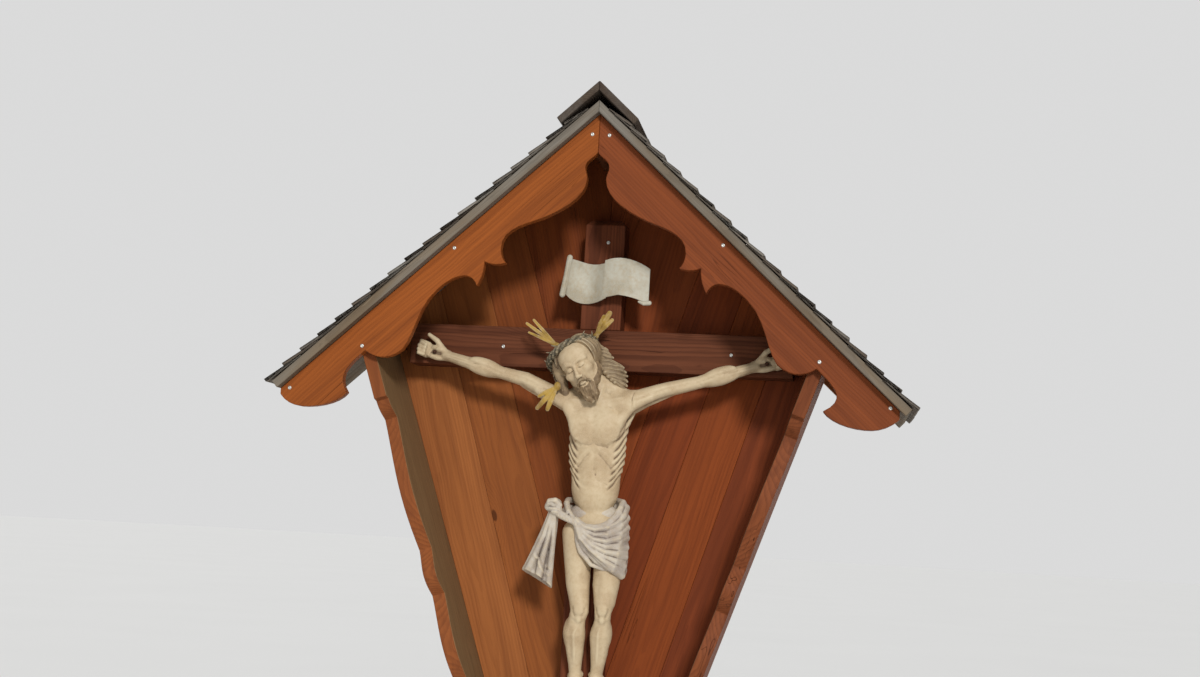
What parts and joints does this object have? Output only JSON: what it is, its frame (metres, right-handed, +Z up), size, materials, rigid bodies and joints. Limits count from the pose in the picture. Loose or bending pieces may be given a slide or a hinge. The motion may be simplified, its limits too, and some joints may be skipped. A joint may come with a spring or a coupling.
{
  "type": "wayside shrine",
  "caption": "Roofed timber wayside shrine: a tapering open box with scalloped bargeboards round a post cross that carries a carved and painted figure.",
  "frame": {"origin": "centre of the flat foot of the post, at ground level", "axes": "+Z up along the post, -Y towards the open front, +X to the viewer's right when facing the front"},
  "size_m": [1.845, 0.514, 2.8356],
  "materials": {
    "stained_larch": "satin",
    "dark_larch": "satin",
    "grey_larch": "matte",
    "painted_carving": "matte",
    "painted_cloth": "matte",
    "crown_wood": "matte",
    "gilded_wood": "satin"
  },
  "bodies": {
    "root": {"left_back_board_1": "stained_larch", "left_back_board_2": "stained_larch", "left_back_board_3": "stained_larch", "left_back_board_4": "stained_larch", "right_back_board_1": "stained_larch", "right_back_board_2": "stained_larch", "right_back_board_3": "stained_larch", "right_back_board_4": "stained_larch", "left_side_board": "stained_larch", "right_side_board": "stained_larch", "floor_board": "stained_larch", "left_bargeboard": "stained_larch", "right_bargeboard": "stained_larch", "left_rear_bargeboard": "stained_larch", "right_rear_bargeboard": "stained_larch", "cross_post": "dark_larch", "cross_beam": "dark_larch", "ridge_beam": "dark_larch", "left_eaves_purlin": "dark_larch", "right_eaves_purlin": "dark_larch", "upper_batten": "grey_larch", "middle_batten": "grey_larch", "lower_batten": "grey_larch", "left_roof_deck": "grey_larch", "right_roof_deck": "grey_larch", "left_shingles": "grey_larch", "right_shingles": "grey_larch", "left_ridge_board": "grey_larch", "right_ridge_board": "grey_larch", "figure_torso": "painted_carving", "figure_head": "painted_carving", "figure_left_arm": "painted_carving", "figure_right_arm": "painted_carving", "figure_left_leg": "painted_carving", "figure_right_leg": "painted_carving", "scroll": "painted_cloth", "loincloth": "painted_cloth", "loincloth_tail": "painted_cloth", "thorn_crown": "crown_wood", "halo_rays": "gilded_wood"}
  },
  "joints": []
}
